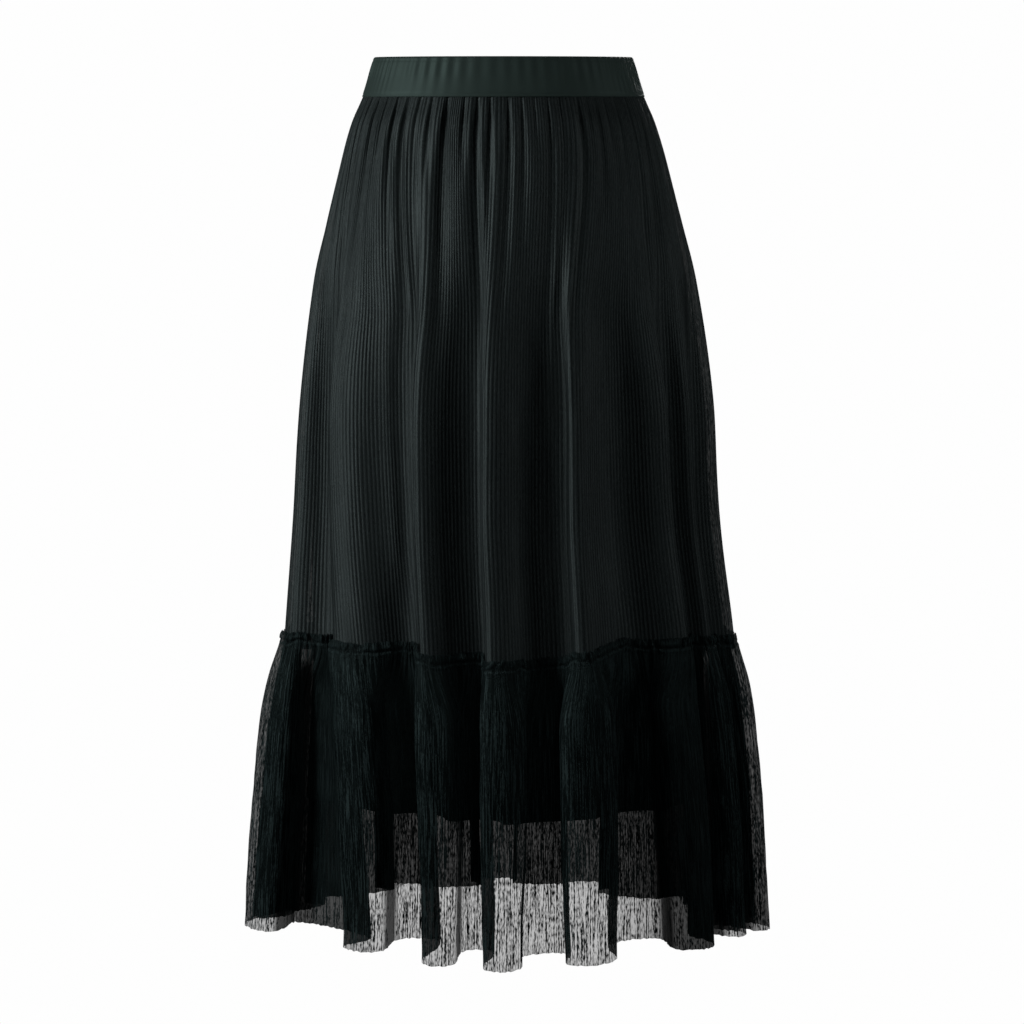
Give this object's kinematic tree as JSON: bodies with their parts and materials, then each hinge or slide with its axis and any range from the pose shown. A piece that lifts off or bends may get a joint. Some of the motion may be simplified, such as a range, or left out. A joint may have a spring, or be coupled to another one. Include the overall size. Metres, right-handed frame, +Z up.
{
  "type": "tiered pleated midi skirt",
  "caption": "Pull-on midi skirt shown worn: wide elastic waistband, finely pleated mesh tier gathered at the waist, deep flared mesh ruffle, and a shorter plain lining.",
  "frame": {"origin": "centre of the waist, at half the height of the waistband, on the wearer's upright axis", "axes": "+Z up along the wearer's body, -Y towards the front of the skirt, +X towards the wearer's left side"},
  "size_m": [0.5124, 0.388, 0.852],
  "materials": {
    "band_cloth": "smooth black elastic casing with a slight satin sheen",
    "pleated_mesh": "matt black fine mesh with narrow vertical pleats",
    "ruffle_mesh": "matt black see-through mesh with fine uneven crinkle pleats",
    "lining_cloth": "plain opaque matt black"
  },
  "bodies": {
    "root": {"waistband": "band_cloth", "tier_front": "pleated_mesh", "tier_back": "pleated_mesh", "ruffle_front": "ruffle_mesh", "ruffle_back": "ruffle_mesh", "lining_front": "lining_cloth", "lining_back": "lining_cloth"}
  },
  "joints": []
}
